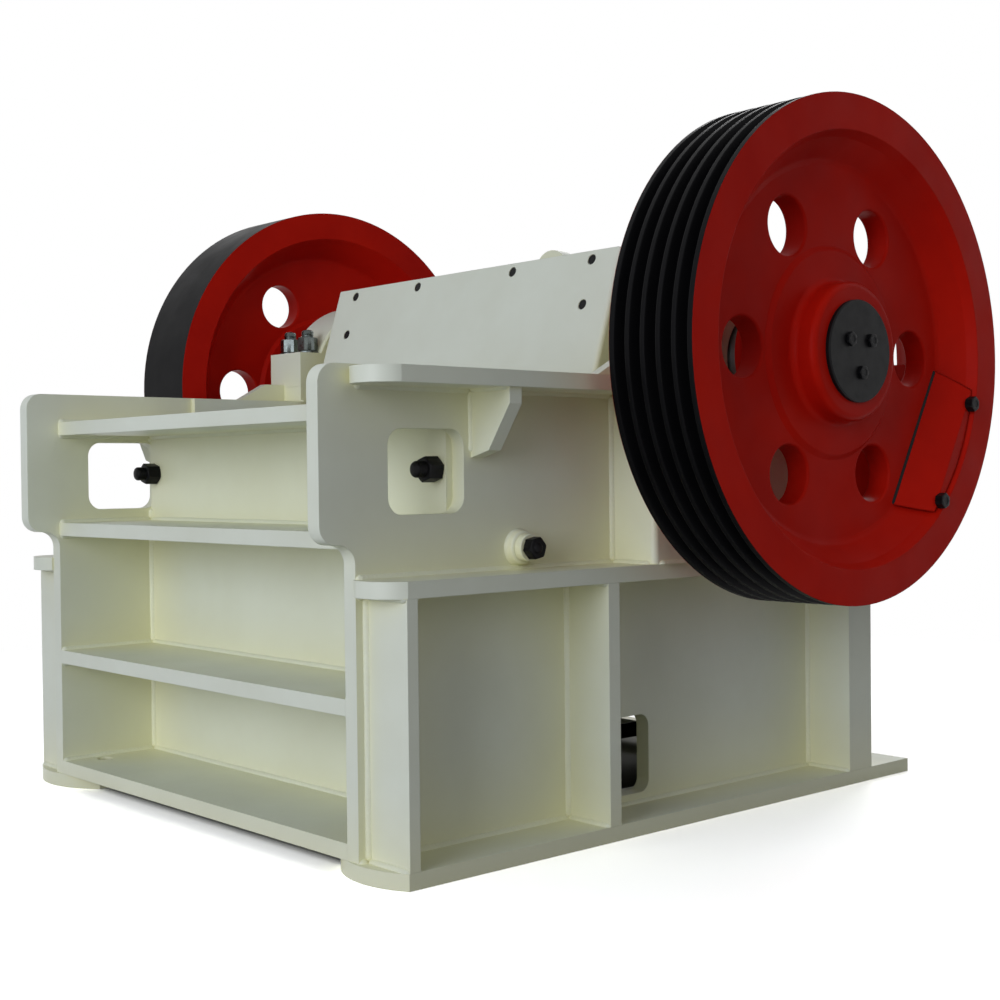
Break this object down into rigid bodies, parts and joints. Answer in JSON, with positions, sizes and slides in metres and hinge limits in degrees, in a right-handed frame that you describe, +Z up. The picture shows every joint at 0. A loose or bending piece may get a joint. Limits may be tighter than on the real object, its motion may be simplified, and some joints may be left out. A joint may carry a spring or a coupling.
{
  "type": "jaw crusher",
  "caption": "Single-toggle jaw crusher: welded frame, swing jaw on an eccentric shaft, grooved belt sheave and plain flywheel.",
  "frame": {"origin": "centre of the four anchor holes, on the feet's underside", "axes": "+X along the shaft towards the belt sheave, +Y from the fixed jaw to the toggle end, +Z up"},
  "size_m": [2.32, 1.905, 1.728],
  "materials": {
    "ivory_paint": "gloss",
    "red_enamel": "gloss",
    "black_steel": "satin",
    "bright_steel": "satin",
    "manganese_steel": "matte"
  },
  "bodies": {
    "frame": {"adjusting_block": "ivory_paint", "bearing_cap_left": "ivory_paint", "bearing_cap_right": "ivory_paint", "bearing_cover_left": "ivory_paint", "bearing_cover_right": "ivory_paint", "bearing_housing_left": "ivory_paint", "bearing_housing_right": "ivory_paint", "bearing_pedestal_left": "ivory_paint", "bearing_pedestal_right": "ivory_paint", "cheek_plate_left": "ivory_paint", "cheek_plate_right": "ivory_paint", "fixed_jaw_plate": "manganese_steel", "fixed_jaw_rest": "ivory_paint", "foot_left": "ivory_paint", "foot_right": "ivory_paint", "front_base_plate": "ivory_paint", "front_post_left": "ivory_paint", "front_post_right": "ivory_paint", "front_rib_lower": "ivory_paint", "front_rib_shoulder": "ivory_paint", "front_rib_upper": "ivory_paint", "front_wall": "ivory_paint", "gusset_left": "ivory_paint", "gusset_right": "ivory_paint", "mid_flange_left": "ivory_paint", "mid_flange_right": "ivory_paint", "mid_post_left": "ivory_paint", "mid_post_right": "ivory_paint", "rear_base_plate": "ivory_paint", "rear_post_left": "ivory_paint", "rear_post_right": "ivory_paint", "rear_rib_lower": "ivory_paint", "rear_rib_middle": "ivory_paint", "rear_rib_upper": "ivory_paint", "rear_wall": "ivory_paint", "shim_pack": "bright_steel", "side_plate_left": "ivory_paint", "side_plate_right": "ivory_paint", "tension_rods": "black_steel", "tension_springs": "black_steel", "toggle_plate": "black_steel", "toggle_shelf_lower": "ivory_paint", "toggle_shelf_upper": "ivory_paint", "top_flange_left": "ivory_paint", "top_flange_right": "ivory_paint"},
    "rotor": {"counterweight_left": "red_enamel", "counterweight_right": "red_enamel", "eccentric_shaft": "bright_steel", "grooved_sheave": "red_enamel", "plain_flywheel": "red_enamel", "shaft_end_cap_left": "black_steel", "shaft_end_cap_right": "black_steel"},
    "swing_jaw": {"head_guard": "ivory_paint", "moving_jaw_plate": "manganese_steel", "moving_jaw_wedge": "ivory_paint", "swing_jaw": "ivory_paint"}
  },
  "joints": [
    {"name": "shaft_spin", "type": "hinge", "parent": "frame", "child": "rotor", "pos_m": [0, 0.238, 1.128], "axis": [1, 0, 0], "continuous": true},
    {"name": "jaw_orbit", "type": "hinge", "parent": "rotor", "child": "swing_jaw", "pos_m": [0, 0.238, 1.143], "axis": [1, 0, 0], "continuous": true}
  ],
  "couplings": [
    {"joint": "jaw_orbit", "follows": "shaft_spin", "ratio": -1}
  ]
}
